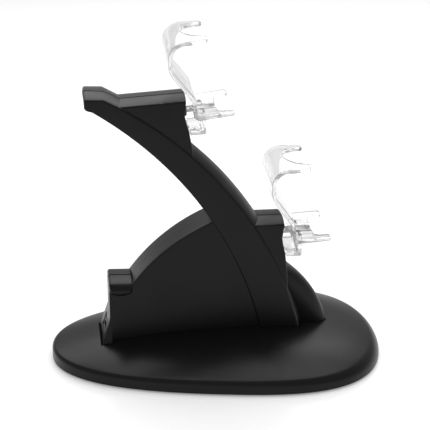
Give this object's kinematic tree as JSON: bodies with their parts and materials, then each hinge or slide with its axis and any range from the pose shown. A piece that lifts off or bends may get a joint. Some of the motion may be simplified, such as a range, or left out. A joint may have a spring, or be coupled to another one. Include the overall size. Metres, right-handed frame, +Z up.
{
  "type": "controller charging station",
  "caption": "Curved black stand on a domed egg-shaped base, with stepped heads that hold clear C-shaped brackets and small plugs for game controllers.",
  "frame": {"origin": "on the table, under the middle of the base", "axes": "+X towards the side the controllers face, +Z up, +Y to the left seen from behind"},
  "size_m": [0.195, 0.1282, 0.1982],
  "materials": {
    "black_plastic": "satin black moulding",
    "tray_plastic": "matt black moulding",
    "foot_rubber": "matt rubber",
    "clear_plastic": "clear, polished",
    "plug_metal": "bright plated sheet",
    "plug_moulding": "matt black",
    "screw_steel": "plain steel",
    "board_green": "green lacquer",
    "lamp": "milky lens",
    "lead_sheath": "matt sheath"
  },
  "bodies": {
    "root": {"base_cover": "black_plastic", "base_tray": "tray_plastic", "foot_rear_left": "foot_rubber", "foot_rear_right": "foot_rubber", "foot_front_left": "foot_rubber", "foot_front_right": "foot_rubber", "stand_shell_left": "black_plastic", "stand_shell_right": "black_plastic", "bracket_upper": "clear_plastic", "bracket_lower": "clear_plastic", "plug_upper_shell": "plug_metal", "plug_lower_shell": "plug_metal", "plug_upper_body": "plug_moulding", "plug_lower_body": "plug_moulding", "charge_board_upper": "board_green", "charge_board_lower": "board_green", "lamp_upper": "lamp", "lamp_lower": "lamp", "inlet_socket": "plug_metal", "inlet_board": "board_green", "lead_upper": "lead_sheath", "lead_lower": "lead_sheath", "tray_screw_1": "screw_steel", "stand_screw_1": "screw_steel", "tray_screw_2": "screw_steel", "stand_screw_2": "screw_steel", "tray_screw_3": "screw_steel", "stand_screw_3": "screw_steel", "tray_screw_4": "screw_steel", "stand_screw_4": "screw_steel"}
  },
  "joints": []
}
